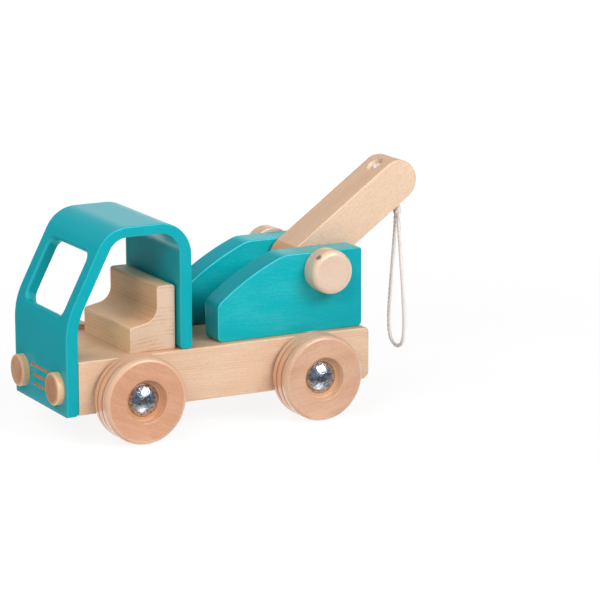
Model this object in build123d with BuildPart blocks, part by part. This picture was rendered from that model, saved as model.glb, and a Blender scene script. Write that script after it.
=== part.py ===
from build123d import *
from math import atan2, cos, degrees, pi, radians, sin, tan
import os

# Wooden toy tow truck on 50 mm wheels. Millimetres, +X forward, +Y left, +Z up.
# The origin is on the ground, under the middle of the whole toy.

os.makedirs("parts", exist_ok=True)

# Chassis block
chassis_front_x = 108.5
chassis_rear_x = -75.7
chassis_w = 73.8
chassis_bottom_z = 16.5
chassis_top_z = 47.3
chassis_top_round = 3.0
chassis_bottom_round = 4.5

# Easing of the sanded edges, and the small gaps between pieces
wood_ease = 1.0
paint_ease = 0.9
seat_ease = 0.7
pin_clearance = 0.08
side_clearance = 0.3

# Cab, one bent panel that stands open at both sides
cab_proud = 0.1
cab_wall_t = 7.4
cab_screen_t = 6.4
cab_roof_t = 6.0
cab_bottom_z = 16.0
cab_roof_z = 121.2
cab_leg_x = 38.1
cab_lean = 27.3
cab_bend_z = 69.8
cab_bend_r = 44.0
cab_front_r = 20.0
cab_rear_r = 19.5
cab_foot_r = 2.6
window_w = 53.2
window_h = 37.8
window_sill = 3.4
window_r = 5.5
window_round = 2.0
window_back_round = 0.8

# Grille slots routed into the cab front, from the top one down
grille_top_z = 36.7
grille_pitch = 5.4
grille_slot_w = 2.0
grille_depth = 1.2
grille_half_lengths = (14.0, 12.2, 10.4)

# Headlight discs
lamp_d = 18.6
lamp_t = 4.5
lamp_inset = 12.0
lamp_z = 30.8
lamp_round = 1.2

# Seat, a moulding cut to length across the cab
seat_inset = 4.9
seat_depth = 28.1
seat_gap = 1.0
seat_front_h = 14.4
seat_rise = 3.4
seat_back_h = 37.0
seat_back_t = 11.3
seat_hollow_r = 9.0
seat_round = 1.8
seat_heel_r = 1.0

# Side plates that carry the boom
plate_t = 17.55
plate_inset = 4.8
plate_front_x = 19.6
plate_tail_gap = 2.2
plate_nose_h = 21.7
plate_crown = 10.5
plate_peak_x = -23.0
plate_brow_r = 150.0
plate_nose_r = 5.0
plate_peak_r = 14.0
plate_tail_r = 2.0
plate_foot_r = 3.0

# Boom, its pin and the two knobs on the pin
boom_side_gap = 1.75
boom_depth = 24.5
boom_reach = 74.2
boom_rise = 35.6
pivot_ahead = 25.4
pivot_h = 36.4
pin_d = 8.0
knob_d = 25.7
knob_t = 13.0
knob_round = 3.4
knob_bore_depth = 9.0

# Cord through the boom's tip, doubled, with its knot in a countersink on top
cord_d = 2.4
cord_reach = 72.0
cord_bore_d = 5.2
cord_sink_d = 11.0
cord_sink_depth = 5.0
knot_d = 6.0
knot_sunk = 3.35
cord_drop = 1.5
loop_knot_d = 5.6
loop_knot_drop = 8.0

# Wheels, axles and the domed caps pressed on the axle ends
wheel_d = 50.0
wheel_w = 17.6
wheel_gap = 1.6
wheel_round = 2.8
wheel_inner_round = 2.2
wheel_groove_w = 1.3
wheel_groove_depth = 1.0
hub_d = 24.2
hub_depth = 5.0
hub_round = 0.9
axle_d = 6.0
axle_front_x = 75.7
axle_rear_x = -36.2
cap_d = 18.6
cap_h = 4.4
cap_rim_t = 0.8
cap_bore_depth = 2.6


def finish(builder, name):
    builder.part.label = name
    export_step(builder.part, f"parts/{name}.step")


# Places worked out from the sizes above
cab_front_x = chassis_front_x + cab_wall_t
cab_leg_inner_x = cab_leg_x + cab_wall_t
lean = radians(cab_lean)
roof_front_x = cab_front_x - (cab_roof_z - cab_bend_z) * tan(lean)
bend_shift = (cab_wall_t - cab_screen_t / cos(lean)) / tan(lean)
inner_bend_z = cab_bend_z - bend_shift
inner_roof_z = cab_roof_z - cab_roof_t
inner_front_x = cab_front_x - cab_wall_t
inner_roof_front_x = inner_front_x - (inner_roof_z - inner_bend_z) * tan(lean)
cab_w = chassis_w + 2 * cab_proud
lamp_y = cab_w / 2 - lamp_inset
seat_w = chassis_w - 2 * seat_inset
plate_outer_y = chassis_w / 2 - plate_inset
plate_inner_y = plate_outer_y - plate_t
boom_t = 2 * (plate_inner_y - boom_side_gap)
plate_rear_x = chassis_rear_x + plate_tail_gap
pivot_x = plate_rear_x + pivot_ahead
pivot_z = chassis_top_z + pivot_h
plate_top_z = pivot_z + plate_crown
wheel_r = wheel_d / 2
wheel_inner_y = chassis_w / 2 + wheel_gap
wheel_outer_y = wheel_inner_y + wheel_w
hub_floor_y = wheel_outer_y - hub_depth
rise = radians(boom_rise)
boom_h = boom_depth / 2

# Chassis: one block with a rounded tail, bored across for both axles
with BuildPart() as chassis:
    with BuildSketch(Plane.XZ) as chassis_side:
        with BuildLine():
            Polyline(
                (chassis_front_x, chassis_bottom_z),
                (chassis_front_x, chassis_top_z),
                (chassis_rear_x, chassis_top_z),
                (chassis_rear_x, chassis_bottom_z),
                close=True,
            )
        make_face()
        fillet(chassis_side.vertices().group_by(Axis.X)[0].sort_by(Axis.Y)[-1], chassis_top_round)
        fillet(chassis_side.vertices().group_by(Axis.X)[0].sort_by(Axis.Y)[0], chassis_bottom_round)
    extrude(amount=chassis_w / 2, both=True)
    rims = chassis.faces().filter_by(Axis.Y).edges()
    fillet(rims.filter_by(lambda edge: edge.center().X < chassis_front_x - 1), wood_ease)
    with BuildSketch(Plane.XZ):
        with Locations((axle_front_x, wheel_r), (axle_rear_x, wheel_r)):
            Circle(axle_d / 2 + pin_clearance)
    extrude(amount=chassis_w, both=True, mode=Mode.SUBTRACT)
finish(chassis, "chassis")

# Cab: the outer line and the inner line of the bent panel, then the window and the grille
with BuildPart() as cab_shell:
    with BuildSketch(Plane.XZ) as cab_side:
        with BuildLine():
            outer = FilletPolyline(
                (cab_front_x, cab_bottom_z),
                (cab_front_x, cab_bend_z),
                (roof_front_x, cab_roof_z),
                (cab_leg_x, cab_roof_z),
                (cab_leg_x, chassis_top_z),
                radius=[cab_bend_r, cab_front_r, cab_rear_r],
            )
            inner = FilletPolyline(
                (inner_front_x, cab_bottom_z),
                (inner_front_x, inner_bend_z),
                (inner_roof_front_x, inner_roof_z),
                (cab_leg_inner_x, inner_roof_z),
                (cab_leg_inner_x, chassis_top_z),
                radius=[
                    cab_bend_r - cab_wall_t,
                    cab_front_r - cab_wall_t,
                    cab_rear_r - cab_wall_t,
                ],
            )
            Line(outer @ 0, inner @ 0)
            Line(outer @ 1, inner @ 1)
        make_face()
        fillet(cab_side.vertices().group_by(Axis.Y)[0].sort_by(Axis.X)[0], cab_foot_r)
        fillet(cab_side.vertices().filter_by_position(Axis.Y, chassis_top_z - 0.1, chassis_top_z + 0.1), cab_foot_r)
    extrude(amount=cab_w / 2, both=True)
    fillet(cab_shell.faces().filter_by(Axis.Y).edges(), paint_ease)
    screen_dir = Vector(-sin(lean), 0, cos(lean))
    screen_out = Vector(cos(lean), 0, sin(lean))
    window_mid = Vector(cab_front_x, 0, cab_bend_z) + screen_dir * (window_sill + window_h / 2)
    screen = Plane(origin=window_mid, x_dir=(0, 1, 0), z_dir=screen_out)
    with BuildSketch(screen):
        RectangleRounded(window_w, window_h, window_r)
    extrude(amount=2 * cab_wall_t, both=True, mode=Mode.SUBTRACT)
    reveal = cab_shell.faces().filter_by(
        lambda face: abs(face.center().Y) < window_w / 2 + 0.1
        and abs(face.normal_at().dot(screen_out)) < 0.01
    )
    fillet(
        reveal.edges().filter_by(
            lambda edge: (edge.center() - window_mid).dot(screen_out) > -0.25 * cab_screen_t
        ),
        window_round,
    )
    reveal = cab_shell.faces().filter_by(
        lambda face: abs(face.center().Y) < window_w / 2 + 0.1
        and abs(face.normal_at().dot(screen_out)) < 0.01
    )
    fillet(
        reveal.edges().filter_by(
            lambda edge: (edge.center() - window_mid).dot(screen_out) < -0.75 * cab_screen_t
        ),
        window_back_round,
    )
    with BuildSketch(Plane.YZ.offset(cab_front_x)):
        for row, half_length in enumerate(grille_half_lengths):
            with Locations((0, grille_top_z - row * grille_pitch)):
                SlotOverall(2 * half_length, grille_slot_w)
    extrude(amount=-grille_depth, mode=Mode.SUBTRACT)
finish(cab_shell, "cab_shell")

# Headlights: a disc each side of the grille, glued to the cab front
for side, name in ((1, "headlight_left"), (-1, "headlight_right")):
    with BuildPart() as headlight:
        with BuildSketch(Plane.YZ.offset(cab_front_x)):
            with Locations((side * lamp_y, lamp_z)):
                Circle(lamp_d / 2)
        extrude(amount=lamp_t)
        fillet(headlight.faces().sort_by(Axis.X)[-1].edges(), lamp_round)
    finish(headlight, name)

# Seat: the profile of cushion and backrest, just ahead of the cab's rear leg
seat_rear_x = cab_leg_inner_x + seat_gap
seat_front_x = seat_rear_x + seat_depth
seat_face_x = seat_rear_x + seat_back_t
with BuildPart() as seat:
    with BuildSketch(Plane.XZ) as seat_side:
        with BuildLine():
            Polyline(
                (seat_rear_x, chassis_top_z),
                (seat_front_x, chassis_top_z),
                (seat_front_x, chassis_top_z + seat_front_h),
                (seat_face_x, chassis_top_z + seat_front_h + seat_rise),
                (seat_face_x, chassis_top_z + seat_back_h),
                (seat_rear_x, chassis_top_z + seat_back_h),
                close=True,
            )
        make_face()
        lip = seat_side.vertices().filter_by_position(Axis.X, seat_front_x - 0.1, seat_front_x + 0.1)
        fillet(lip.sort_by(Axis.Y)[-1], seat_round)
        fold = seat_side.vertices().filter_by_position(Axis.X, seat_face_x - 0.1, seat_face_x + 0.1)
        fillet(fold.sort_by(Axis.Y)[0], seat_hollow_r)
        fillet(seat_side.vertices().group_by(Axis.Y)[-1], seat_round)
        fillet(seat_side.vertices().group_by(Axis.Y)[0].sort_by(Axis.X)[0], seat_heel_r)
    extrude(amount=seat_w / 2, both=True)
    ends = seat.faces().filter_by(Axis.Y).edges()
    fillet(ends.filter_by(lambda edge: edge.center().Z > chassis_top_z + seat_heel_r / 2), seat_ease)
finish(seat, "seat")

# Side plates: a straight nose, a long curved brow up to a flat top, bored for the boom's pin
for side, name in ((1, "side_plate_left"), (-1, "side_plate_right")):
    inner_face = Plane.XZ.offset(-side * plate_inner_y)
    with BuildPart() as side_plate:
        with BuildSketch(inner_face) as plate_side:
            with BuildLine():
                nose_top = (plate_front_x, chassis_top_z + plate_nose_h)
                peak = (plate_peak_x, plate_top_z)
                RadiusArc(nose_top, peak, -plate_brow_r)
                Polyline(
                    peak,
                    (plate_rear_x, plate_top_z),
                    (plate_rear_x, chassis_top_z),
                    (plate_front_x, chassis_top_z),
                    nose_top,
                )
            make_face()
            tail_top = (plate_rear_x, plate_top_z)
            fillet(plate_side.vertices().group_by(Axis.Y)[0], plate_foot_r)
            for corner, radius in ((tail_top, plate_tail_r), (nose_top, plate_nose_r), (peak, plate_peak_r)):
                fillet(plate_side.vertices().sort_by_distance(Vector(*corner))[0], radius)
        extrude(amount=-side * plate_t)
        fillet(side_plate.faces().filter_by(Axis.Y).edges(), paint_ease)
        with BuildSketch(Plane.XZ):
            with Locations((pivot_x, pivot_z)):
                Circle(pin_d / 2 + pin_clearance)
        extrude(amount=2 * plate_outer_y, both=True, mode=Mode.SUBTRACT)
    finish(side_plate, name)

# Boom: a bar with both ends half round, drawn along its own raised line
boom_plane = Plane(origin=(pivot_x, 0, pivot_z), x_dir=(-cos(rise), 0, sin(rise)), z_dir=(0, 1, 0))
tip_top = boom_plane.from_local_coords(Vector(cord_reach, boom_h, 0))
cord_plane = Plane(origin=tip_top, x_dir=(0, 1, 0), z_dir=boom_plane.y_dir)
with BuildPart() as boom:
    with BuildSketch(boom_plane):
        with Locations((boom_reach / 2, 0)):
            SlotCenterToCenter(boom_reach, boom_depth)
    extrude(amount=boom_t / 2, both=True)
    fillet(boom.faces().filter_by(Axis.Y).edges(), wood_ease)
    with BuildSketch(boom_plane):
        Circle(pin_d / 2 + pin_clearance / 2)
    extrude(amount=boom_t, both=True, mode=Mode.SUBTRACT)
    with BuildSketch(cord_plane):
        Circle(cord_bore_d / 2)
    extrude(amount=-boom_depth, mode=Mode.SUBTRACT)
    with BuildSketch(cord_plane) as sink:
        Circle(cord_sink_d / 2)
    extrude(amount=-cord_sink_depth, taper=degrees(atan2(cord_sink_d / 2 - cord_bore_d / 2, cord_sink_depth)),
            mode=Mode.SUBTRACT)
finish(boom, "boom")

# Pin through the plates and the boom, with a knob glued on each end
pin_end_y = plate_outer_y + side_clearance + knob_bore_depth
with BuildPart() as boom_pin:
    with BuildSketch(Plane.XZ):
        with Locations((pivot_x, pivot_z)):
            Circle(pin_d / 2)
    extrude(amount=pin_end_y, both=True)
finish(boom_pin, "boom_pin")

for side, name in ((1, "knob_left"), (-1, "knob_right")):
    knob_face = Plane.XZ.offset(-side * (plate_outer_y + side_clearance))
    with BuildPart() as knob:
        with BuildSketch(knob_face):
            with Locations((pivot_x, pivot_z)):
                Circle(knob_d / 2)
        extrude(amount=-side * knob_t)
        outer_rim = knob.faces().filter_by(Axis.Y).sort_by(Axis.Y)[-1 if side > 0 else 0]
        fillet(outer_rim.edges(), knob_round)
        inner_rim = knob.faces().filter_by(Axis.Y).sort_by(Axis.Y)[0 if side > 0 else -1]
        fillet(inner_rim.edges(), wood_ease)
        with BuildSketch(knob_face):
            with Locations((pivot_x, pivot_z)):
                Circle(pin_d / 2 + pin_clearance / 2)
        extrude(amount=-side * knob_bore_depth, mode=Mode.SUBTRACT)
    finish(knob, name)

# Knot in the countersink, with the doubled cord through the bore below it
knot_plane = cord_plane.offset(-knot_sunk)
with BuildPart() as tow_cord_knot:
    with BuildSketch(Plane(origin=knot_plane.origin, x_dir=knot_plane.x_dir, z_dir=knot_plane.z_dir)):
        Circle(cord_d)
    extrude(amount=-(boom_depth - knot_sunk))
    with Locations(knot_plane.origin):
        Sphere(knot_d / 2)
finish(tow_cord_knot, "tow_cord_knot")

# Tow cord: a loop that hangs from the bore's mouth, tied in a knot just below it. Each row is a step
# sideways (+Y) and down from the mouth, with a little drift along X, and the loop comes back up to it.
mouth = boom_plane.from_local_coords(Vector(cord_reach, -boom_h - cord_drop, 0))
loop_rows = (
    # drift x, side y, down z
    (0.0, 1.30, 0.0),
    (0.1, 1.55, -10.0),
    (0.5, 4.40, -26.0),
    (1.0, 8.00, -44.0),
    (1.2, 10.60, -61.0),
    (0.9, 11.20, -76.0),
    (0.3, 8.20, -87.4),
    (0.0, -0.20, -91.2),
    (-0.2, -8.60, -87.0),
    (-0.7, -11.00, -75.0),
    (-1.0, -9.80, -59.5),
    (-0.9, -7.00, -42.0),
    (-0.5, -3.90, -25.0),
    (-0.1, -1.55, -10.5),
    (0.0, -1.30, 0.0),
)
loop_points = [mouth + Vector(*row) for row in loop_rows]
runs = [b - a for a, b in zip(loop_points, loop_points[1:])]
loop_radii = []
for before, after in zip(runs, runs[1:]):
    half_turn = radians(before.get_angle(after)) / 2
    loop_radii.append(0.45 * min(before.length, after.length) / tan(half_turn))
with BuildPart() as tow_cord_loop:
    with BuildLine() as loop_line:
        FilletPolyline(*loop_points, radius=loop_radii)
    with BuildSketch(Plane(origin=loop_line.line @ 0, z_dir=loop_line.line % 0)):
        Circle(cord_d / 2)
    sweep(transition=Transition.ROUND)
    loop_length = loop_line.wires()[0].length
    volume_share = tow_cord_loop.part.volume / (pi * cord_d ** 2 / 4 * loop_length)
    with Locations(mouth - Vector(0, 0, loop_knot_drop)):
        Sphere(loop_knot_d / 2)
finish(tow_cord_loop, "tow_cord_loop")
print("loop radii", [round(radius, 1) for radius in loop_radii])
print("loop length", round(loop_length, 1), "volume share", round(volume_share, 4))

# Axles and wheels
for place, axle_x in (("front", axle_front_x), ("rear", axle_rear_x)):
    with BuildPart() as axle:
        with BuildSketch(Plane.XZ):
            with Locations((axle_x, wheel_r)):
                Circle(axle_d / 2)
        extrude(amount=hub_floor_y + side_clearance + cap_bore_depth, both=True)
    finish(axle, f"axle_{place}")
    for side, hand in ((1, "left"), (-1, "right")):
        spin_axis = Axis((axle_x, 0, wheel_r), (0, 1, 0))
        half = Plane(origin=(axle_x, 0, wheel_r), x_dir=(1, 0, 0), z_dir=(0, 0, side))
        # In this sketch x is the radius and y is the distance out from the middle of the toy
        with BuildPart() as wheel:
            with BuildSketch(half) as wheel_half:
                with BuildLine():
                    Polyline(
                        (axle_d / 2 + pin_clearance, wheel_inner_y),
                        (wheel_r, wheel_inner_y),
                        (wheel_r, wheel_outer_y),
                        (hub_d / 2, wheel_outer_y),
                        (hub_d / 2, hub_floor_y),
                        (axle_d / 2 + pin_clearance, hub_floor_y),
                        close=True,
                    )
                make_face()
                for corner, radius in (
                    ((wheel_r, wheel_outer_y), wheel_round),
                    ((wheel_r, wheel_inner_y), wheel_inner_round),
                    ((hub_d / 2, wheel_outer_y), hub_round),
                ):
                    fillet(wheel_half.vertices().sort_by_distance(Vector(*corner))[0], radius)
                for share in (1 / 3, 2 / 3):
                    groove_y = wheel_inner_y + share * wheel_w
                    with BuildLine():
                        Polyline(
                            (wheel_r + 1, groove_y - wheel_groove_w),
                            (wheel_r + 1, groove_y + wheel_groove_w),
                            (wheel_r - wheel_groove_depth, groove_y),
                            close=True,
                        )
                    make_face(mode=Mode.SUBTRACT)
            revolve(axis=spin_axis)
        finish(wheel, f"wheel_{place}_{hand}")
        with BuildPart() as cap:
            base_y = hub_floor_y + side_clearance
            with BuildSketch(half):
                with BuildLine():
                    Line((0, base_y + cap_bore_depth), (0, base_y + cap_h))
                    ThreePointArc(
                        (0, base_y + cap_h),
                        (cap_d * 0.3, base_y + cap_rim_t + (cap_h - cap_rim_t) * 0.66),
                        (cap_d / 2, base_y + cap_rim_t),
                    )
                    Polyline(
                        (cap_d / 2, base_y + cap_rim_t),
                        (cap_d / 2, base_y),
                        (axle_d / 2 + pin_clearance / 2, base_y),
                        (axle_d / 2 + pin_clearance / 2, base_y + cap_bore_depth),
                        (0, base_y + cap_bore_depth),
                    )
                make_face()
            revolve(axis=spin_axis)
        finish(cap, f"cap_{place}_{hand}")
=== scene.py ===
"""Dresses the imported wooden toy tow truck: cord, chrome caps, finishes and studio."""
import math

import bmesh
import bpy
from bpy.props import FloatProperty, FloatVectorProperty, IntProperty, PointerProperty
from bpy.types import Operator, Panel, PropertyGroup
from mathutils import Matrix, Vector


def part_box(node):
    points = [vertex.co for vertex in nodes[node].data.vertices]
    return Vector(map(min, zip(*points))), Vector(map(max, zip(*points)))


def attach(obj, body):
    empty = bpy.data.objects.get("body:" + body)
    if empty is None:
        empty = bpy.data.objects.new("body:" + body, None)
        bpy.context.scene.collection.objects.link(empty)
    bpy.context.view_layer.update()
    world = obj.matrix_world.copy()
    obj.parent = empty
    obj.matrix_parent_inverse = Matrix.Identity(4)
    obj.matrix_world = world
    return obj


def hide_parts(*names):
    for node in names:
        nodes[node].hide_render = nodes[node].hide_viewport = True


bl_info = {
    "name": "Toy tow truck",
    "version": (1, 0, 0),
    "blender": (4, 5, 0),
    "location": "3D View > Sidebar > Tow truck",
    "description": "Dresses a wooden toy tow truck in wood, stain, chrome and cord",
    "category": "Object",
}

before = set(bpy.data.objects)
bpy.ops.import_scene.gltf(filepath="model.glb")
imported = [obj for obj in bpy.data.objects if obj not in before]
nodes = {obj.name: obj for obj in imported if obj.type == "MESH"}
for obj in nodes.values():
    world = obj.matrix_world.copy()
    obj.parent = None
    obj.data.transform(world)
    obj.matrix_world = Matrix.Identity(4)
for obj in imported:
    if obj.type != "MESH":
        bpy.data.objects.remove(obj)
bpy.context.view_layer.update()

MM = 0.001
X, Y, Z = (1, 0, 0), (0, 1, 0), (0, 0, 1)

# The truck at rest, in millimetres: +X is ahead, +Y is its left side and +Z is up.
BOOM_PIVOT = Vector((-48.1, 0.0, 83.7))
BOOM_ALONG = Vector((-0.8131, 0.0, 0.5821))
BOOM_UP = Vector((0.5821, 0.0, 0.8131))
CORD_REACH = 72.0  # from the pivot to the bore, along the boom
BOOM_HALF_DEPTH = 12.25
BORE_TOP = BOOM_PIVOT + CORD_REACH * BOOM_ALONG + BOOM_HALF_DEPTH * BOOM_UP
CORD_MOUTH = Vector((-114.647, 0.0, 114.433))  # the bore's lower end
CORDS_APART = 1.3  # from the bore's middle to each of the two cords in it
KNOT_UNDER_TOP = 3.0
COLLAR_UNDER_MOUTH = 8.0
CAB_FRONT = 115.9
FRONT_AXLE = 75.7
WHEELBASE = 111.9
WHEEL_RADIUS = 25.0
WHEEL_FACE = 56.1
HUB_RADIUS = 12.1
HUB_FLOOR = 51.1
HUB_RING = 10.8  # radius of the ring turned in the hub's floor
GROOVES = (44.37, 50.23)  # how far out the tread's two grooves lie

# The camera: its lens in millimetres and its place in metres.
CAMERA_LENS = 192.65
CAMERA_SPOT = (0.8007886, 1.6312155, 0.4716114)
CAMERA_FORWARD = Vector((-0.45107407, -0.86520976, -0.21896175))
CAMERA_RIGHT = Vector((-0.88642644, 0.46286061, -0.00286595))

# How finely the turned caps, the strands of the cord and its knots are divided.
DOME_STEPS = 14
FLANGE_STEPS = 8
CAP_SIDES = 72
STRAND_SIDES = 9
KNOT_STEPS = 150

# The lamps stand round the truck: name, azimuth, elevation, size and whether the caps
# mirror them. Azimuth 0 is on the truck's left side.
LAMP_DISTANCE = 1.7
LAMP_AIM = Vector((0, 0, 0.06))
LAMPS = (
    ("key", -21, 34, (1.1, 0.8), True),
    ("side", 46, 32, (0.8, 0.6), False),
    ("front", 125, 32, (0.9, 0.9), False),
    ("top", 82, 64, (0.9, 0.9), False),
    ("back", 180, 30, (1.0, 1.0), False),
)


def tone(code):
    """The linear colour of a hex code."""
    parts = [int(code[i : i + 2], 16) / 255 for i in (0, 2, 4)]
    return tuple(
        p / 12.92 if p <= 0.04045 else ((p + 0.055) / 1.055) ** 2.4 for p in parts
    )


def colour(name, code, description):
    """A colour that a user can change, from a hex code."""
    return FloatVectorProperty(
        name=name,
        description=description,
        subtype="COLOR",
        size=3,
        min=0,
        max=1,
        default=tone(code),
    )


def length(name, millimetres, description):
    """A size that a user can change."""
    return FloatProperty(
        name=name,
        description=description,
        subtype="DISTANCE",
        unit="LENGTH",
        min=0,
        default=millimetres * MM,
    )


def share(name, value, description):
    """A part of 1 that a user can change."""
    return FloatProperty(
        name=name,
        description=description,
        subtype="FACTOR",
        min=0,
        max=1,
        default=value,
    )


def power(name, watts, description):
    """The power of a lamp, which a user can change."""
    return FloatProperty(
        name=name, description=description, unit="POWER", min=0, default=watts
    )


def looks_of(kind, name, description):
    """The looks of one kind of piece."""
    return PointerProperty(name=name, description=description, type=kind)


class WoodLook(PropertyGroup):
    pale: colour("Pale wood", "F0D6BA", "Early wood of the oiled beech")
    dark: colour("Dark wood", "DDB792", "Late wood of the oiled beech")
    fleck: colour("Fleck", "B98254", "Small dark flecks along the grain")
    end: colour("End grain", "E2C5AB", "Sawn end grain")
    roughness: share("Roughness", 0.4, "How matt the oiled wood is")


class WheelLook(PropertyGroup):
    pale: colour("Pale wood", "E4B394", "Early wood of the turned wheels")
    dark: colour("Dark wood", "C98C69", "Late wood of the turned wheels")
    # Dark wood of the flecks and lathe lines; in and beside the grooves it is painted
    # shade.
    groove: colour("Groove", "8A4A26", "Burnished wood in the turned grooves")
    # Paler wood of the tread, and the painted highlight on its shoulder.
    rubbed_and_highlight: colour("Rubbed wood", "F2D6B8", "Paler wood of the tread and its shoulder")
    # Painted light: the hub recess is painted brighter and warmer.
    hub: colour("Hub", "F8C69A", "Warmer wood in the hub recess")
    roughness: share("Roughness", 0.34, "How matt the turned wood is")


class StainLook(PropertyGroup):
    base: colour("Stain", "00A8B4", "Teal stain on the cab and the side plates")
    wisp: colour("Wisp", "4FBABC", "Paler wood grain that shows through the stain")
    # Paler edge colour: thin stain on the sanded edges, and a painted highlight there.
    wear_and_highlight: colour("Worn edge", "78E0E0", "Thin stain on the sanded edges")
    slot: colour("Slot", "DDAE86", "Bare wood in the grille slots")
    roughness: share("Roughness", 0.24, "How matt the stain is")


class CordLook(PropertyGroup):
    diameter: length("Diameter", 2.4, "Thickness of the tow cord")
    loop: length("Loop length", 193.4, "Length of the hanging loop")
    lay: length("Lay", 8.5, "Length of one turn of the strands")
    strands: IntProperty(
        name="Strands", description="Strands in the cord", default=3, min=2, max=4
    )
    cotton: colour("Cotton", "FDF6F2", "Undyed cotton yarn")
    hollow: colour("Hollow", "EBDFD6", "Shaded cotton between the strands")


class CapLook(PropertyGroup):
    rim: length("Rim", 0.15, "Width of the flat edge round the dome")
    rim_thickness: length("Rim thickness", 0.5, "Thickness of the flange")
    chrome: colour("Chrome", "E6E9EC", "Plated steel")
    tarnish: colour("Tarnish", "9BA6B8", "Plating gone dull in flecks")
    roughness: share("Roughness", 0.09, "How dull the plating is")


class StudioLook(PropertyGroup):
    key: power("Key lamp", 19.5, "Large lamp on the near side, toward the tail")
    side: power("Side lamp", 9.2, "Lamp on the near side, toward the cab")
    front: power("Front lamp", 2.3, "Soft lamp ahead of the far side")
    top: power("Top lamp", 9.1, "Soft lamp high ahead")
    back: power("Back lamp", 4.0, "Soft lamp on the far side")
    ambient: share("Ambient", 0.03, "Light that comes from all round")
    floor: colour("Floor", "F2F2F2", "Plain floor")


class TruckLooks(PropertyGroup):
    wood: looks_of(WoodLook, "Wood", "Oiled beech of block, seat, headlights and boom")
    wheel: looks_of(WheelLook, "Wheels", "Turned beech of the wheels")
    stain: looks_of(StainLook, "Stain", "Stained wood of the cab and the side plates")
    cord: looks_of(CordLook, "Cord", "Tow cord and its yarn")
    cap: looks_of(CapLook, "Caps", "Chrome caps on the axles")
    studio: looks_of(StudioLook, "Studio", "Lamps and floor")


def operator_pair(operation):
    """An operator of Value and its reflected form, each as one Math node."""

    def plain(self, other):
        return self.sheet.maths(operation, self, other)

    def reflected(self, other):
        return self.sheet.maths(operation, other, self)

    return plain, reflected


class Value:
    """One output of a shader node. Arithmetic on it adds Math nodes."""

    def __init__(self, sheet, socket):
        self.sheet = sheet
        self.socket = socket

    def maths(self, operation, *others):
        return self.sheet.maths(operation, self, *others)

    __add__, __radd__ = operator_pair("ADD")
    __sub__, __rsub__ = operator_pair("SUBTRACT")
    __mul__, __rmul__ = operator_pair("MULTIPLY")
    __truediv__, __rtruediv__ = operator_pair("DIVIDE")
    __pow__, __rpow__ = operator_pair("POWER")

    def __abs__(self):
        return self.maths("ABSOLUTE")


class Sheet:
    """The nodes of one material, or of the world."""

    def __init__(self, tree):
        self.tree = tree
        tree.nodes.clear()

    def add(self, kind, settings=None, sockets=None, out=0):
        """Adds a node: first its settings, then the values or links of its sockets."""
        node = self.tree.nodes.new("ShaderNode" + kind)
        for key, value in (settings or {}).items():
            setattr(node, key, value)
        for key, value in (sockets or {}).items():
            plug = node.inputs[key]
            if isinstance(value, Value):
                self.tree.links.new(value.socket, plug)
            elif plug.type == "RGBA":
                plug.default_value = (*value[:3], 1)
            else:
                plug.default_value = value
        return Value(self, node.outputs[out]) if node.outputs else node

    def maths(self, operation, *values):
        """Numbers only: a Math node turns a colour grey."""
        return self.add("Math", {"operation": operation}, dict(enumerate(values)))

    def mix(self, factor, a, b, blend="MIX"):
        """Colour a at factor 0, colour b at factor 1."""
        settings = {"data_type": "RGBA", "blend_type": blend, "clamp_factor": True}
        return self.add("Mix", settings, {0: factor, 6: a, 7: b}, out=2)

    def tint(self, body, colour, amount=1.0):
        """Multiplies a colour by another, wholly or in part."""
        return self.mix(amount, body, colour, "MULTIPLY")

    def ease(self, value, low, high):
        """0 below low, 1 above high, and a smooth step between."""
        sockets = {"Value": value, "From Min": low, "From Max": high}
        return self.add("MapRange", {"interpolation_type": "SMOOTHSTEP"}, sockets)

    def fall(self, value, low, high):
        """1 below low, 0 above high, and a smooth step between."""
        return 1 - self.ease(value, low, high)

    def vector(self, operation, *vectors, out="Vector"):
        return self.add(
            "VectorMath", {"operation": operation}, dict(enumerate(vectors)), out=out
        )

    def cloud(self, point, scale, detail):
        """Noise from 0 to 1, the same along every axis."""
        sockets = {"Vector": point, "Scale": scale, "Detail": detail}
        return self.add("TexNoise", {}, sockets)

    def noise(self, x, y, z, detail=2.0, roughness=0.5):
        """Noise from 0 to 1 at a point whose coordinates carry their own scale."""
        point = self.add("CombineXYZ", {}, {0: x, 1: y, 2: z})
        sockets = {"Vector": point, "Scale": 1, "Detail": detail}
        return self.add("TexNoise", {}, {**sockets, "Roughness": roughness})

    def place(self):
        """The point on the piece, in millimetres, where the truck has it at rest."""
        point = self.add("TexCoord", out="Object")
        sockets = {0: point, "Scale": 1 / MM}
        return self.add("VectorMath", {"operation": "SCALE"}, sockets)

    def parts(self, point):
        """The x, y and z of a point."""
        parts = self.add("SeparateXYZ", {}, {0: point}).socket.node.outputs
        return [Value(self, part) for part in parts]

    def along(self, point, axis):
        """How far a point lies along an axis, or how much a normal faces along it."""
        return self.vector("DOT_PRODUCT", point, tuple(axis), out="Value")

    def bump(self, height, depth, strength):
        sockets = {"Height": height, "Distance": depth, "Strength": strength}
        return self.add("Bump", {}, sockets)


def material(name):
    """A new material, and the sheet of its nodes."""
    made = bpy.data.materials.new(name)
    made.use_nodes = True
    return made, Sheet(made.node_tree)


def surface(sheet, **sockets):
    """Ends a material with one principled shader."""
    words = {key.replace("_", " "): value for key, value in sockets.items()}
    shader = sheet.add("BsdfPrincipled", {}, words)
    sheet.add("OutputMaterial", {}, {"Surface": shader})


def wear(name, made):
    """Puts a material on a CAD node."""
    slots = nodes[name].material_slots
    for slot in slots:
        slot.material = made
    if not slots:
        nodes[name].data.materials.append(made)


def corners(name):
    """The low and high corners and the middle of a CAD node's box, in millimetres."""
    low, high = (Vector(corner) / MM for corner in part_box(name))
    return low, high, (low + high) / 2


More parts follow.
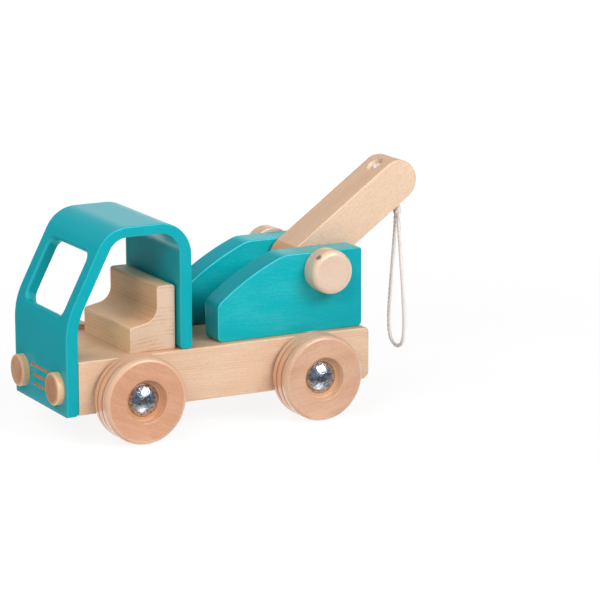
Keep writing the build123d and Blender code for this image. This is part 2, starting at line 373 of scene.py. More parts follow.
def grain(sheet, point, axis, radial, seed, pitch, curve=0.004, wander=3.0, heart=0.0):
    """Beech sawn along an axis, with its growth rings stacked along a radial direction.

    Returns late wood, fibre, ray fleck, pore and mottle, each from 0 to 1."""
    axis = Vector(axis).normalized()
    radial = Vector(radial)
    radial = (radial - axis * radial.dot(axis)).normalized()
    s = sheet.along(point, axis) + seed
    r = sheet.along(point, radial)
    t = sheet.along(point, axis.cross(radial))
    drift = sheet.noise(s * 0.012, r * 0.04 + seed, t * 0.03, 2)
    ring = r + (t - heart) * (t - heart) * curve + (drift - 0.5) * wander
    turn = (ring / pitch).maths("FRACT")
    fade = sheet.ease(sheet.noise(s * 0.02, r * 0.16 + seed, t * 0.08, 2), 0.34, 0.62)
    late = sheet.ease(turn, 0.15, 0.85) * sheet.fall(turn, 0.88, 1.0) * fade
    fibre = sheet.noise(s * 0.06, r * 1.1 + seed, t * 1.1, 4, 0.6)
    ray = sheet.ease(sheet.noise(s * 0.5, r * 1.3, t * 2.2 + seed, 3, 0.7), 0.44, 0.64)
    pore = sheet.noise(s * 0.5, r * 2.6, t * 2.6 + seed, 2, 0.6)
    mottle = sheet.noise(s * 0.03, r * 0.09 + seed, t * 0.09, 3, 0.5)
    return late, fibre, ray, pore, mottle


def shade(sheet, body, point, normal, bands):
    """Tints faces, band by band.

    A band comes in from a start to a stop along a way, and only on the faces that look
    along its facing, forward or back."""
    for way, start, stop, facing, tint in bands:
        part = sheet.ease(sheet.along(point, way), start, stop)
        part = part * sheet.ease(abs(sheet.along(normal, facing)), 0.2, 0.6)
        body = sheet.tint(body, tint, part)
    return body


def board(
    name,
    look,
    axis,
    radial,
    seed,
    tint=(1, 1, 1),
    end_tint=(1, 1, 1),
    flat_tint=(0.96, 0.87, 0.8),
    rings=0.3,
    rays=0.12,
    pitch=1.7,
    heart=6.0,
    pores=0.3,
    blotch=0.3,
    coat=0.0,
    lathe=X,
    rim=0.0,
    bands=(),
    marks=(),
):
    """Oiled beech with its grain along an axis, browner where it is sawn flat.

    The tints multiply the whole, the end grain and the faces that look along radial.
    The rim is how pale the rounded edges round the lathe axis are painted, as a painted
    highlight. Each mark is a hex colour that comes in from a start to a stop distance
    from a centre."""
    made, sheet = material(name)
    point = sheet.place()
    late, fibre, ray, pore, mottle = grain(
        sheet, point, axis, radial, seed, pitch, heart=heart
    )
    body = sheet.mix(
        late * rings + (fibre - 0.5) * 0.9 + (mottle - 0.5) * 0.6 + 0.3,
        tuple(look.pale),
        tuple(look.dark),
    )
    body = sheet.mix(ray * rays + (pore - 0.5) * pores, body, tuple(look.fleck))
    body = sheet.tint(body, tint)
    normal = sheet.add("TexCoord", out="Normal")
    flat = sheet.ease(abs(sheet.along(normal, Vector(radial).normalized())), 0.5, 0.9)
    body = sheet.tint(body, flat_tint, flat)
    across = abs(sheet.along(normal, Vector(axis).normalized()))
    cut = late * 0.35 + (pore - 0.5) * 0.5 + (fibre - 0.5) * 0.6
    cut = cut + (mottle - 0.5) * blotch
    cut = sheet.mix(cut, tuple(look.end), tuple(look.fleck))
    cut = sheet.tint(cut, end_tint)
    body = sheet.mix(sheet.ease(across, 0.6, 0.92), body, cut)
    # Painted highlight: the rounded edges round the lathe axis are made paler by the
    # rim share.
    facing = abs(sheet.along(normal, lathe))
    edge = sheet.ease(facing, 0.15, 0.35) * sheet.fall(facing, 0.9, 0.99)
    body = sheet.mix(edge * rim, body, tuple(look.pale))
    body = shade(sheet, body, point, normal, bands)
    for centre, start, stop, depth, paint in marks:
        away = sheet.vector("DISTANCE", point, centre, out="Value") + (pore - 0.5) * 2
        body = sheet.mix(sheet.ease(away, start, stop) * depth, body, tone(paint))
    relief = fibre * 0.7 + pore * 0.4 + late * -0.2
    surface(
        sheet,
        Base_Color=body,
        Roughness=look.roughness + (fibre - 0.5) * 0.22,
        Normal=sheet.bump(relief, 0.00005, 0.45),
        Coat_Weight=coat,
        Coat_Roughness=0.1,
    )
    return made


def turned(name, look, centre, axis, seed, tint=(1, 1, 1), rubbed_and_highlight=1.0):
    """Turned beech: side grain across the wheel, with fine rings from the lathe.

    The last argument scales how much paler the tread is, as its own wood, and its
    shoulder, as a painted highlight."""
    made, sheet = material(name)
    point = sheet.place()
    late, fibre, ray, pore, mottle = grain(
        sheet, point, axis, Y, seed, pitch=3.4, curve=0.002, wander=9.0
    )
    body = sheet.mix(
        late * 0.22 + (fibre - 0.5) * 0.9 + (mottle - 0.5) * 0.8 + 0.3,
        tuple(look.pale),
        tuple(look.dark),
    )
    fleck = sheet.ease(pore, 0.5, 0.72)
    body = sheet.mix(fleck * 0.2 + ray * 0.1, body, tuple(look.groove))
    x, y, z = sheet.parts(point)
    x, y, z = x - centre.x, abs(y), z - centre.z
    reach = (x * x + z * z) ** 0.5
    # How deep a point lies under the tread, and how far in from the wheel's face.
    under = WHEEL_RADIUS - reach
    within = WHEEL_FACE - y
    rim = sheet.fall(under, 0.6, 1.4)
    lathe = sheet.noise(reach * 1.5, seed, y * 2.2, 3, 0.6)
    body = sheet.mix((lathe - 0.5) * (0.25 + rim * 0.5), body, tuple(look.groove))
    floor_of_groove = sheet.ease(under, 0.05, 0.9)
    tread = sheet.ease(within, 3.3, 3.9) * sheet.fall(under, 1.1, 1.6)
    # Painted highlight: the rounded shoulder is painted paler.
    shoulder = sheet.fall(within, 3.5, 4.3) * sheet.fall(under, 2.1, 2.7)
    pale = (tread * 0.4 + shoulder * 0.42) * rubbed_and_highlight
    body = sheet.mix(pale, body, tuple(look.rubbed_and_highlight))
    body = sheet.tint(body, (1.08, 0.98, 0.88), tread)
    # Painted shade: the grooves and the wood just beside them are darkened.
    beside = abs(y - GROOVES[0]).maths("MINIMUM", abs(y - GROOVES[1]))
    groove_shade = sheet.fall(beside, 0.5, 1.3) * 0.4
    groove_shade = groove_shade.maths("MAXIMUM", floor_of_groove * 0.8)
    body = sheet.mix(groove_shade * tread, body, tuple(look.groove))
    # Painted light: the recess round the hub is painted brighter.
    hub = sheet.fall(reach - HUB_RADIUS, 0.2, 0.5) * sheet.ease(within, 0.7, 1.5)
    body = sheet.mix(hub * 0.6, body, tuple(look.hub))
    ring = sheet.fall(abs(reach - HUB_RING), 0.1, 0.4)
    ring = ring * sheet.fall(y - HUB_FLOOR, -0.1, 0.9)
    body = sheet.mix(ring * 0.3, body, tuple(look.groove))
    body = sheet.tint(body, tint)
    surface(
        sheet,
        Base_Color=body,
        Roughness=look.roughness + (fibre - 0.5) * 0.2,
        Normal=sheet.bump(fibre * 0.4 + lathe * 0.9, 0.00006, 0.5),
        Coat_Weight=0.5 - tread * 0.35,
        Coat_Roughness=0.16,
    )
    return made


def stained(
    name,
    look,
    axis,
    radial,
    seed,
    show=1.0,
    tint=(1, 1, 1),
    painted_shade_tint=(1, 1, 1),
    wear_and_highlight=0.4,
    bands=(),
    slots=False,
):
    """Wood under a satin teal stain, with the grain just showing through.

    The shade tint darkens, as painted shade, all faces that look neither sideways nor
    straight up. The rounded edges take the paler edge colour by the given share: partly
    thin stain, partly a painted highlight.
    The slots show bare wood."""
    made, sheet = material(name)
    point = sheet.place()
    late, fibre, _, pore, mottle = grain(
        sheet, point, axis, radial, seed, pitch=2.6, curve=0.012, wander=5.0
    )
    veil = (fibre - 0.5) * 0.5 + late * 0.05 + (pore - 0.5) * 0.9 + (mottle - 0.5) * 0.9
    veil = veil * show + (show - 0.3) * 0.2
    body = sheet.mix(veil, tuple(look.base), tuple(look.wisp))
    normal = sheet.add("TexCoord", out="Normal")
    sideways = abs(sheet.along(normal, Y))
    upward = sheet.along(normal, Z)
    # Painted shade: faces that look neither sideways nor straight up are darkened by
    # the shade tint.
    painted_shade_faces = sheet.fall(sideways, 0.2, 0.45) * sheet.fall(upward, 0.9, 0.98)
    body = sheet.tint(body, painted_shade_tint, painted_shade_faces)
    # Paler rounded edges: partly thin stain, partly a painted highlight.
    edge = sheet.ease(sideways, 0.3, 0.6) * sheet.fall(sideways, 0.8, 0.97)
    body = sheet.mix(edge * wear_and_highlight, body, tuple(look.wear_and_highlight))
    body = sheet.tint(body, tint)
    body = shade(sheet, body, point, normal, bands)
    if slots:
        x, y, z = sheet.parts(point)
        into = CAB_FRONT - x
        deep = sheet.ease(into, 0.1, 0.35) * sheet.fall(into, 1.3, 1.5)
        deep = deep * sheet.fall(abs(y), 15.5, 16)
        deep = deep * sheet.ease(z, 22, 23) * sheet.fall(z, 38.5, 39)
        body = sheet.mix(deep * (0.8 + pore * 0.3), body, tuple(look.slot))
    surface(
        sheet,
        Base_Color=body,
        Roughness=look.roughness + (fibre - 0.5) * 0.12,
        Normal=sheet.bump(fibre * 0.7 + pore * 0.3, 0.00004, 0.4),
        IOR=1.33,
    )
    return made


def smooth_route(points):
    """The points of the smooth curve that has these as its control points.

    It takes millimetres and gives metres."""
    curve = bpy.data.curves.new("route", "CURVE")
    curve.dimensions = "3D"
    curve.resolution_u = 24
    spline = curve.splines.new("NURBS")
    spline.points.add(len(points) - 1)
    for control, place in zip(spline.points, points):
        control.co = (*(place * MM), 1)
    spline.order_u = 3
    spline.use_endpoint_u = True
    holder = bpy.data.objects.new("route", curve)
    bpy.context.collection.objects.link(holder)
    bpy.context.view_layer.update()
    line = bpy.data.meshes.new_from_object(holder)
    found = [v.co.copy() for v in line.vertices]
    bpy.data.meshes.remove(line)
    bpy.data.objects.remove(holder)
    bpy.data.curves.remove(curve)
    return found


def frames(path, closed=False):
    """Side and up at each point of a path, turning as little as possible."""
    last = len(path) - 1
    tangents = []
    for i in range(last + 1):
        if closed:
            before, after = path[i - 1], path[(i + 1) % (last + 1)]
        else:
            before, after = path[max(0, i - 1)], path[min(last, i + 1)]
        tangents.append((after - before).normalized())
    side = tangents[0].orthogonal().normalized()
    found = []
    for tangent in tangents:
        side = (side - tangent * side.dot(tangent)).normalized()
        found.append((side, tangent.cross(side)))
    return found


def finish_mesh(name, work):
    """Turns the work into a mesh object in the scene."""
    bmesh.ops.recalc_face_normals(work, faces=work.faces)
    mesh = bpy.data.meshes.new(name)
    work.to_mesh(mesh)
    work.free()
    made = bpy.data.objects.new(name, mesh)
    bpy.context.collection.objects.link(made)
    return made


def twist(name, paths, look, closed=False):
    """A laid cord along each path: round strands wound about the path, in one mesh.

    Its yarn layer holds the turns of lay along the cord and the part of a turn round
    the strand, where 0 is outermost."""
    work = bmesh.new()
    yarn = work.loops.layers.uv.new("yarn")
    around = 0.23 * look.diameter
    radius = 0.27 * look.diameter
    for line in paths:
        steps = frames(line, closed)
        runs = [0.0]
        for a, b in zip(line, line[1:]):
            runs.append(runs[-1] + (b - a).length)
        whole = runs[-1] + (line[0] - line[-1]).length if closed else runs[-1]
        turns = max(1, round(whole / look.lay)) if closed else whole / look.lay
        wound = [gone / look.lay for gone in runs] + [whole / look.lay]
        for strand in range(look.strands):
            rings = []
            for place, (side, up), gone in zip(line, steps, runs):
                angle = math.tau * (strand / look.strands + turns * gone / whole)
                out = side * math.cos(angle) + up * math.sin(angle)
                over = up * math.cos(angle) - side * math.sin(angle)
                ring = []
                for k in range(STRAND_SIDES):
                    turn = math.tau * k / STRAND_SIDES
                    spot = out * math.cos(turn) + over * math.sin(turn)
                    ring.append(work.verts.new(place + out * around + spot * radius))
                rings.append(ring)
            count = len(rings) if closed else len(rings) - 1
            for i in range(count):
                a, b = rings[i], rings[(i + 1) % len(rings)]
                for k in range(STRAND_SIDES):
                    j = (k + 1) % STRAND_SIDES
                    face = work.faces.new((a[k], a[j], b[j], b[k]))
                    face.smooth = True
                    here, there = k / STRAND_SIDES, (k + 1) / STRAND_SIDES
                    marks = (
                        (wound[i], here),
                        (wound[i], there),
                        (wound[i + 1], there),
                        (wound[i + 1], here),
                    )
                    for corner, mark in zip(face.loops, marks):
                        corner[yarn].uv = mark
            if not closed:
                for ring, order in ((rings[0], -1), (rings[-1], 1)):
                    work.faces.new(ring[::order])
    return finish_mesh(name, work)


def cotton(name, look):
    """Soft cotton yarn, twisted within each strand and painted darker between the
    strands as painted shade.
    """
    made, sheet = material(name)
    run, turn, _ = sheet.parts(sheet.add("UVMap", {"uv_map": "yarn"}))
    thread = ((turn * 7 - run * 9) * math.tau).maths("SINE") * 0.5 + 0.5
    fluff = sheet.cloud(sheet.place(), 2.6, 4)
    outside = (turn * math.tau).maths("COSINE") * 0.5 + 0.5
    # Painted shade: the strands' sides that face inward, where they meet, take the
    # hollow colour.
    deep = sheet.fall(outside, 0.25, 0.75)
    body = sheet.mix(
        deep * 0.4 + (1 - thread) * 0.15 + (fluff - 0.5) * 0.4,
        tuple(look.cotton),
        tuple(look.hollow),
    )
    surface(
        sheet,
        Base_Color=body,
        Roughness=0.9,
        Normal=sheet.bump(thread * 0.6 + fluff * 0.6, 0.00012, 0.7),
        Sheen_Weight=0.3,
        Sheen_Roughness=0.5,
    )
    return made


def knot_path(centre, along, radius, stretch):
    """A closed overhand knot round an axis: three lobes that pass over and under.

    It takes millimetres and gives metres."""
    side = Vector(Y)
    up = along.cross(side)
    found = []
    for i in range(KNOT_STEPS):
        t = math.tau * i / KNOT_STEPS
        x = (math.sin(t) + 2 * math.sin(2 * t)) / 3
        y = (math.cos(t) - 2 * math.cos(2 * t)) / 3
        z = -math.sin(3 * t)
        place = centre + (side * x + up * y) * radius + along * (z * stretch)
        found.append(place * MM)
    return found


class TRUCK_OT_camera(Operator):
    """Sets up the camera at the viewing angle"""

    bl_idname = "truck.camera"
    bl_label = "Camera"

    def execute(self, context):
        data = bpy.data.cameras.new("camera")
        data.lens = CAMERA_LENS
        data.sensor_width = 36
        camera = bpy.data.objects.new("camera", data)
        context.collection.objects.link(camera)
        forward = CAMERA_FORWARD.normalized()
        right = CAMERA_RIGHT.normalized()
        up = right.cross(forward)
        turn = Matrix((right, up, -forward)).transposed().to_4x4()
        camera.matrix_world = Matrix.Translation(CAMERA_SPOT) @ turn
        context.scene.camera = camera
        return {"FINISHED"}


class TRUCK_OT_cord(Operator):
    """Lays the tow cord: the hanging loop, its knot, and the knotted end in the boom"""

    bl_idname = "truck.cord"
    bl_label = "Tow cord"

    def execute(self, context):
        look = context.scene.tow_truck.cord
        # The loop's points, from the bore's mouth: ahead, to the left and up.
        rows = (
            (0.0, CORDS_APART, 0.0),
            (0.1, 1.55, -10.0),
            (0.5, 4.40, -26.0),
            (1.0, 8.00, -44.0),
            (1.2, 10.60, -61.0),
            (0.9, 11.20, -76.0),
            (0.3, 8.20, -87.4),
            (0.0, -0.20, -91.2),
            (-0.2, -8.60, -87.0),
            (-0.7, -11.00, -75.0),
            (-1.0, -9.80, -59.5),
            (-0.9, -7.00, -42.0),
            (-0.5, -3.90, -25.0),
            (-0.1, -1.55, -10.5),
            (0.0, -CORDS_APART, 0.0),
        )
        route = smooth_route([CORD_MOUTH + Vector(row) for row in rows])
        yarn = cotton("cotton_cord", look)
        loop = twist("tow_cord_loop_rope", [route], look)
        down = Vector((0, 0, -1))
        under = CORD_MOUTH + COLLAR_UNDER_MOUTH * down
        low = knot_path(under, down, radius=1.75, stretch=1.5)
        collar = twist("tow_cord_loop_knot", [low], look, closed=True)
        seat = BORE_TOP - KNOT_UNDER_TOP * BOOM_UP
        high = knot_path(seat, BOOM_UP, radius=2.1, stretch=1.2)
        ends = []
        for y in (-CORDS_APART, CORDS_APART):
            aside = Vector((0, y, 0))
            inner, mouth = seat + aside, CORD_MOUTH + aside
            ends.append(smooth_route([inner, (inner + mouth) / 2, mouth]))
        stopper = twist("tow_cord_stopper", [high], look, closed=True)
        tails = twist("tow_cord_in_bore", ends, look)
        for piece, body in (
            (loop, "tow_loop"),
            (collar, "tow_loop"),
            (stopper, "boom_arm"),
            (tails, "boom_arm"),
        ):
            piece.data.materials.append(yarn)
            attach(piece, body)
        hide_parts("tow_cord_loop")
        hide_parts("tow_cord_knot")
        tuple(route[0])
        [tuple(place) for place in route]
        return {"FINISHED"}


class TRUCK_OT_caps(Operator):
    """Spins the chrome caps that close the axles"""

    bl_idname = "truck.caps"
    bl_label = "Axle caps"

    def execute(self, context):
        look = context.scene.tow_truck.cap
        made, sheet = material("chrome")
        point = sheet.place()
        dent = sheet.cloud(point, 0.8, 5)
        scuff = sheet.cloud(point, 1.4, 3)
        bright = sheet.ease(sheet.cloud(point, 0.6, 4), 0.36, 0.62)
        surface(
            sheet,
            Base_Color=sheet.mix(bright, tuple(look.tarnish), tuple(look.chrome)),
            Metallic=1.0,
            Roughness=look.roughness + (scuff - 0.4) * 0.25,
            Normal=sheet.bump(dent, 0.0003, 0.8),
        )
        for place in ("front_left", "front_right", "rear_left", "rear_right"):
            low, high = (Vector(corner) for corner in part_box("cap_" + place))
            middle = (low + high) / 2
            outward = 1 if middle.y > 0 else -1
            radius = (high.x - low.x) / 2
            height = high.y - low.y
            base = Vector((middle.x, low.y if outward > 0 else high.y, middle.z))
            cap = self.spin("axle_cap_" + place, base, outward, radius, height, look)
            cap.data.materials.append(made)
            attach(cap, "truck")
            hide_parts("cap_" + place)
        return {"FINISHED"}

    def spin(self, name, base, outward, radius, height, look):
        """A domed disc with a rolled flange, turned about the axle."""
        dome = radius - look.rim
        rise = height - look.rim_thickness
        ball = (dome * dome + rise * rise) / (2 * rise)
        reach = math.asin(dome / ball)
        edge = look.rim_thickness / 2
        # The profile beyond the dome's tip: distances from the axis, and heights.
        profile = []
        for i in range(1, DOME_STEPS + 1):
            angle = reach * i / DOME_STEPS
            drop = ball * (1 - math.cos(angle))
            profile.append((ball * math.sin(angle), height - drop))
        for i in range(FLANGE_STEPS + 1):
            angle = math.pi / 2 - math.pi * i / FLANGE_STEPS
            out, up = edge * math.cos(angle), edge * math.sin(angle)
            profile.append((radius - edge + out, edge + up))
        profile.append((radius * 0.3, 0.0))
        work = bmesh.new()
        tip = work.verts.new(base + Vector((0, outward * height, 0)))
        rings = []
        for r, h in profile:
            ring = []
            for k in range(CAP_SIDES):
                turn = math.tau * k / CAP_SIDES
                spot = Vector((r * math.cos(turn), outward * h, r * math.sin(turn)))
                ring.append(work.verts.new(base + spot))
            rings.append(ring)
        around = [(k, (k + 1) % CAP_SIDES) for k in range(CAP_SIDES)]
        for k, j in around:
            work.faces.new((tip, rings[0][k], rings[0][j])).smooth = True
        for a, b in zip(rings, rings[1:]):
            for k, j in around:
                work.faces.new((a[k], a[j], b[j], b[k])).smooth = True
        work.faces.new(rings[-1])
        return finish_mesh(name, work)


class TRUCK_OT_chassis(Operator):
    """Finishes the beech chassis block"""

    bl_idname = "truck.chassis"
    bl_label = "Chassis"

    def execute(self, context):
        wood = context.scene.tow_truck.wood
        block = board(
            "beech_chassis",
            wood,
            (1, 0, 0.03),
            Z,
            11.0,
            tint=(0.97, 0.92, 0.92),
            flat_tint=(0.93, 0.84, 0.74),
            rings=0.34,
            rays=0.14,
            pitch=1.5,
            pores=0.5,
        )
        wear("chassis", block)
        return {"FINISHED"}


class TRUCK_OT_cab(Operator):
    """Finishes the bent cab, its seat and its headlights"""

    bl_idname = "truck.cab"
    bl_label = "Cab"

    def execute(self, context):
        looks = context.scene.tow_truck
        # Painted light: the roof's top faces are painted brighter and greener.
        painted_light_roof = (Z, 90.0, 100.0, Z, (0.85, 1.1, 1.1))
        shell = stained(
            "teal_cab",
            looks.stain,
            (0.2, 0, 1),
            X,
            3.0,
            show=0.3,
            wear_and_highlight=0.2,
            bands=(painted_light_roof,),
            slots=True,
        )
        wear("cab_shell", shell)
        low, high, _ = corners("seat")
        # Painted light and shade: the seat's top (flat tint) and its cushion front are
        # painted paler. The backrest's front is painted browner and darker, as painted
        # shade that also cancels the cab's teal light. The rounded edges (rim) carry a
        # painted highlight.
        painted_light_cushion_front = (X, high.x - 3, high.x - 1, X, (1.18, 1.14, 1.12))
        back = ((-1, 0, 0), -low.x - 20, -low.x - 13, X, (1.08, 0.9, 0.78))
        seat = board(
            "beech_seat",
            looks.wood,
            Y,
            (0.1, 0, 1),
            23.0,
            tint=(1.04, 0.96, 0.84),
            flat_tint=(1.12, 0.96, 0.9),
            rings=0.4,
            pitch=2.3,
            heart=62.0,
            lathe=Y,
            rim=0.4,
            bands=(painted_light_cushion_front, back),
        )
        wear("seat", seat)
        ends = {
            "headlight_left": (0.74, 0.5, 0.38),
            "headlight_right": (0.88, 0.63, 0.5),
        }
        for i, (name, end_tint) in enumerate(ends.items()):
            low, high, middle = corners(name)
            radius = (high.y - low.y) / 2
            front = (high.x, middle.y, middle.z)
            # Painted highlight: a paler ring round the edge of the lamp's face.
            painted_highlight_rim = (front, radius - 2.0, radius - 1.2, 0.5, "E8C498")
            disc = board(
                "beech_" + name,
                looks.wood,
                X,
                (0, 1, 0.4),
                31.0 + 7 * i,
                tint=(1.0, 0.93, 0.84),
                end_tint=end_tint,
                rays=0.4,
                pores=0.8,
                blotch=2.0,
                marks=(painted_highlight_rim,),
            )
            wear(name, disc)
        return {"FINISHED"}


class TRUCK_OT_side_plates(Operator):
    """Finishes the two side plates that carry the boom"""

    bl_idname = "truck.side_plates"
    bl_label = "Side plates"

    def execute(self, context):
        stain = context.scene.tow_truck.stain
        # Painted shade: toward the tail the near plate's sides are painted darker and
        # less grey.
        tail = ((-1, 0, 0), 30.0, 66.0, Y, (0.3, 0.88, 0.92))
        shadow = ((0.6, 0, -0.8), -55.0, -33.0, Y, (0.4, 0.45, 0.47))
        plates = {
            "side_plate_left": ((0.8, 1.09, 1.07), (tail,)),
            # The far plate's stain is painted lighter than the near one's: painted
            # light on its shaded inner face.
            "side_plate_right": ((0.6, 1.22, 1.22), (shadow,)),
        }
        for i, (name, (tint, bands)) in enumerate(plates.items()):
            plate = stained(
                "teal_" + name,
                stain,
                (1, 0, 0.06),
                Z,
                5.0 + 9 * i,
                tint=tint,
                painted_shade_tint=(0.2, 0.78, 0.8),
                bands=bands,
            )
            wear(name, plate)
        return {"FINISHED"}


class TRUCK_OT_boom(Operator):
    """Finishes the boom, its pin and its knobs"""

    bl_idname = "truck.boom"
    bl_label = "Boom"

    def execute(self, context):
        wood = context.scene.tow_truck.wood
        root = BOOM_PIVOT.dot(BOOM_ALONG)
        round_end = (-BOOM_ALONG, -root - 0.4, -root + 0.4, BOOM_UP, (0.88, 0.74, 0.6))
        # Painted light: near the pin the boom's sides are painted warmer, against the
        # teal light and shade the plates put on them.
        painted_light_by_the_pin = (-BOOM_ALONG, -root - 50, -root - 12, Y, (1.05, 0.96, 0.97))
        # Painted shade: a dark spot on the wall of the sink round the top of the bore.
        painted_shade_in_sink = BORE_TOP + 2.0 * BOOM_ALONG + Vector((0, 2.3, 0))
        boom = board(
            "beech_boom",
            wood,
            BOOM_ALONG,
            BOOM_UP,
            41.0,
            tint=(1.03, 1.02, 1.05),
            rings=0.1,
            rays=0.2,
            pores=0.9,
            bands=(round_end, painted_light_by_the_pin),
            marks=((painted_shade_in_sink, 1.6, 0.8, 0.7, "5A3420"),),
        )
        wear("boom", boom)
        wear("boom_pin", board("beech_pin", wood, Y, X, 47.0))
        for i, name in enumerate(("knob_left", "knob_right")):
            _, _, middle = corners(name)
            outer = middle + Vector((0, math.copysign(4.5, middle.y), 0))
            dark_speck = (outer + Vector((8.2, -1, 9.2)), 2.4, 1.0, 0.8, "5A3420")
            pale_speck = (outer + Vector((-8.6, 0, 8.0)), 2.0, 0.8, 0.5, "8A5A3A")
            # Painted highlight: the knob's rounded edge is painted paler by the rim
            # share.
            knob = board(
                "beech_" + name,
                wood,
                (0.9, 0, 0.4),
                Y,
                53.0 + 5 * i,
                tint=(1.08, 0.98, 0.84),
                flat_tint=(0.89, 0.98, 1.28),
                rings=0.1,
                coat=0.9,
                lathe=Y,
                rim=0.5,
                marks=(dark_speck, pale_speck),
            )
            wear(name, knob)
        return {"FINISHED"}


class TRUCK_OT_wheels(Operator):
    """Finishes the turned wheels and the axles"""

    bl_idname = "truck.wheels"
    bl_label = "Wheels"

    def execute(self, context):
        look = context.scene.tow_truck.wheel
        tints = {"front": (0.98, 0.94, 0.91), "rear": (1.0, 1.08, 1.14)}
        # The rear wheels get less of the paler tread and of the painted shoulder
        # highlight.
        rubbed_and_highlight = {"front": 1.0, "rear": 0.3}
        # How far each wheel's grain is turned from level, in degrees.
        turns = {
            "front_left": 24,
            "front_right": 80,
            "rear_left": -14,
            "rear_right": 50,
        }
        for i, (place, turn) in enumerate(turns.items()):
            name = "wheel_" + place
            _, _, centre = corners(name)
            angle = math.radians(turn)
            axis = (math.cos(angle), 0, math.sin(angle))
            end = place.split("_")[0]
            wood = turned(
                "turned_" + place,
                look,
                centre,
                axis,
                7.0 + 13 * i,
                tint=tints[end],
                rubbed_and_highlight=rubbed_and_highlight[end],
            )
            wear(name, wood)
        made, sheet = material("steel")
        x, y, z = sheet.parts(sheet.place())
        drawn = sheet.noise(x * 3, y * 0.1, z * 3, 3)
        surface(
            sheet,
            Base_Color=sheet.mix(drawn, tone("A9ABAD"), tone("8F9194")),
            Metallic=1.0,
            Roughness=0.3 + drawn * 0.15,
        )
        for name in ("axle_front", "axle_rear"):
            wear(name, made)
        return {"FINISHED"}


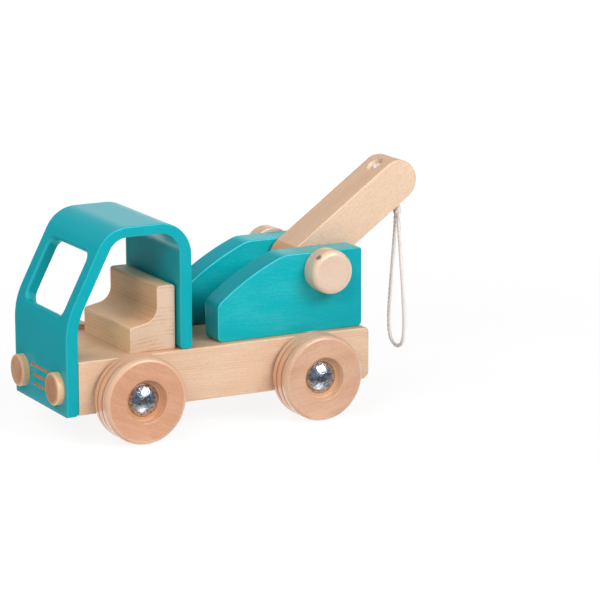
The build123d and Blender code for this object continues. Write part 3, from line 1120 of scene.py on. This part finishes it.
class TRUCK_OT_studio(Operator):
    """Sets up the plain floor, the lamps and the white surroundings"""

    bl_idname = "truck.studio"
    bl_label = "Studio"

    def execute(self, context):
        look = context.scene.tow_truck.studio
        self.floor(context, look)
        self.surroundings(context, look)
        for name, azimuth, elevation, size, mirrored in LAMPS:
            lamp = self.lamp(context, name, azimuth, elevation, size)
            lamp.data.energy = getattr(look, name)
            lamp.visible_glossy = mirrored
        context.scene.view_settings.view_transform = "Standard"
        return {"FINISHED"}

    def rays(self, sheet):
        """Is Camera Ray, and the rays that show the surroundings in gloss and glass."""
        camera = sheet.add("LightPath", out="Is Camera Ray")
        outputs = camera.socket.node.outputs
        glossy = Value(sheet, outputs["Is Glossy Ray"])
        through = Value(sheet, outputs["Is Transmission Ray"])
        return camera, (glossy + through).maths("MINIMUM", 1.0)

    def floor(self, context, look):
        """A pale floor, white to the camera, that keeps the truck's shadow near it.

        The caps mirror it bright, but dark ahead of the cab and on the truck's left:
        between the axles from the wheels' faces on, and everywhere farther out."""
        mesh = bpy.data.meshes.new("floor")
        work = bmesh.new()
        bmesh.ops.create_grid(work, x_segments=2, y_segments=2, size=6)
        work.to_mesh(mesh)
        work.free()
        floor = bpy.data.objects.new("floor", mesh)
        context.collection.objects.link(floor)
        made, sheet = material("floor")
        point = sheet.place()
        near = sheet.fall(sheet.vector("LENGTH", point, out="Value"), 250, 700)
        x, y, _ = sheet.parts(point)
        # How far a point is from the nearest axle, as if one stood every wheelbase.
        spaces = (x - FRONT_AXLE) / WHEELBASE + 10.5
        from_axle = abs(spaces.maths("FRACT") - 0.5) * WHEELBASE
        between = sheet.ease(y, 52, 56) * sheet.ease(from_axle, 7, 10)
        dark = sheet.ease(y, 68, 98).maths("MAXIMUM", sheet.ease(x, 120, 150))
        dark = dark.maths("MAXIMUM", between * 0.8)
        camera, mirrored = self.rays(sheet)
        strength = camera * 1.04 + mirrored * (1.5 - dark * 1.37)
        lit = sheet.add("BsdfDiffuse", {}, {"Color": tuple(look.floor)})
        glow = sheet.add("Emission", {}, {"Color": (1, 1, 1), "Strength": strength})
        # Near the truck the camera sees some of the lit floor, and so its shadow.
        share_of_glow = camera * (1 - near * 0.14) + mirrored
        both = sheet.add("MixShader", {}, {0: share_of_glow, 1: lit, 2: glow})
        sheet.add("OutputMaterial", {}, {"Surface": both})
        mesh.materials.append(made)

    def surroundings(self, context, look):
        """White to the camera, and to the caps a dim room with a white backdrop."""
        world = bpy.data.worlds.new("studio")
        world.use_nodes = True
        context.scene.world = world
        sheet = Sheet(world.node_tree)
        way = sheet.add("TexCoord", out="Generated")
        height = sheet.along(way, Z)
        behind = sheet.along(way, (-0.46, -0.89, 0))
        backdrop = sheet.ease(behind, 0.7, 0.92) * sheet.fall(height, 0.26, 0.42)
        clutter = sheet.ease(sheet.cloud(way, 9.0, 4), 0.35, 0.65)
        room = sheet.mix(clutter, (0.03, 0.05, 0.09), (0.32, 0.37, 0.45))
        camera, mirrored = self.rays(sheet)
        shown = sheet.mix(backdrop * 0.8, room, (1, 1, 1))
        shown = sheet.mix(camera, shown, (1, 1, 1))
        seen = (camera + mirrored).maths("MINIMUM", 1.0)
        colour_of_ray = sheet.mix(seen, (look.ambient,) * 3, shown)
        sky = sheet.add("Background", {}, {"Color": colour_of_ray, "Strength": 1.0})
        sheet.add("OutputWorld", {}, {"Surface": sky})

    def lamp(self, context, name, azimuth, elevation, size):
        """A soft lamp that faces the truck."""
        data = bpy.data.lights.new(name, "AREA")
        data.shape = "RECTANGLE"
        data.size, data.size_y = size
        lamp = bpy.data.objects.new(name, data)
        context.collection.objects.link(lamp)
        turn, lift = math.radians(azimuth), math.radians(elevation)
        flat = math.cos(lift)
        toward = Vector((math.sin(turn) * flat, math.cos(turn) * flat, math.sin(lift)))
        lamp.location = toward * LAMP_DISTANCE + LAMP_AIM
        lamp.rotation_euler = toward.to_track_quat("Z", "Y").to_euler()
        return lamp


class TRUCK_PT_sidebar(Panel):
    """Lists the steps with the looks that each one uses"""

    bl_idname = "TRUCK_PT_sidebar"
    bl_label = "Tow truck"
    bl_space_type = "VIEW_3D"
    bl_region_type = "UI"
    bl_category = "Tow truck"

    def draw(self, context):
        for step, group in STEPS:
            box = self.layout.box()
            box.operator(step.bl_idname)
            if group:
                look = getattr(context.scene.tow_truck, group)
                for key in look.bl_rna.properties.keys():
                    if key not in ("rna_type", "name"):
                        box.prop(look, key)


# The operators in the order in which they run, each with the looks listed under it.
STEPS = (
    (TRUCK_OT_camera, None),
    (TRUCK_OT_cord, "cord"),
    (TRUCK_OT_caps, "cap"),
    (TRUCK_OT_chassis, "wood"),
    (TRUCK_OT_cab, "stain"),
    (TRUCK_OT_side_plates, None),
    (TRUCK_OT_boom, None),
    (TRUCK_OT_wheels, "wheel"),
    (TRUCK_OT_studio, "studio"),
)
GROUPS = (WoodLook, WheelLook, StainLook, CordLook, CapLook, StudioLook, TruckLooks)


def register():
    for group in GROUPS:
        bpy.utils.register_class(group)
    bpy.types.Scene.tow_truck = PointerProperty(type=TruckLooks)
    for step, _ in STEPS:
        bpy.utils.register_class(step)
    bpy.utils.register_class(TRUCK_PT_sidebar)


def unregister():
    bpy.utils.unregister_class(TRUCK_PT_sidebar)
    for step, _ in reversed(STEPS):
        bpy.utils.unregister_class(step)
    del bpy.types.Scene.tow_truck
    for group in reversed(GROUPS):
        bpy.utils.unregister_class(group)


def main():
    """Dresses the truck."""
    register()
    for step, _ in STEPS:
        family, name = step.bl_idname.split(".")
        getattr(getattr(bpy.ops, family), name)()


if __name__ == "__main__":
    main()
